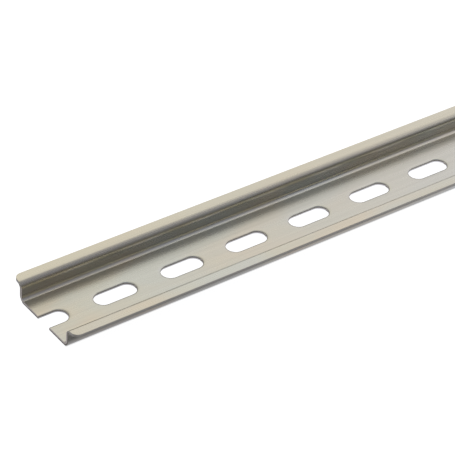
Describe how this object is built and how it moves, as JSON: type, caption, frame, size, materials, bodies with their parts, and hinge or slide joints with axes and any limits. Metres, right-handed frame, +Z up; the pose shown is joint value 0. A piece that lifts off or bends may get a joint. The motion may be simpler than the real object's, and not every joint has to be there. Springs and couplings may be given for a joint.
{
  "type": "din rail",
  "caption": "Slotted top hat mounting rail: a shallow channel of plated steel strip with two outward lips and a row of oblong slots along its floor.",
  "frame": {"origin": "middle of the underside of the floor, at half the length", "axes": "+X along the rail, away from the end that the picture shows; +Y across it to the far lip; +Z up, out of the open side of the channel"},
  "size_m": [0.3, 0.035, 0.0072],
  "materials": {
    "zinc_plate": "zinc plated and lightly yellow passivated, satin"
  },
  "bodies": {
    "root": {"rail": "zinc_plate"}
  },
  "joints": []
}
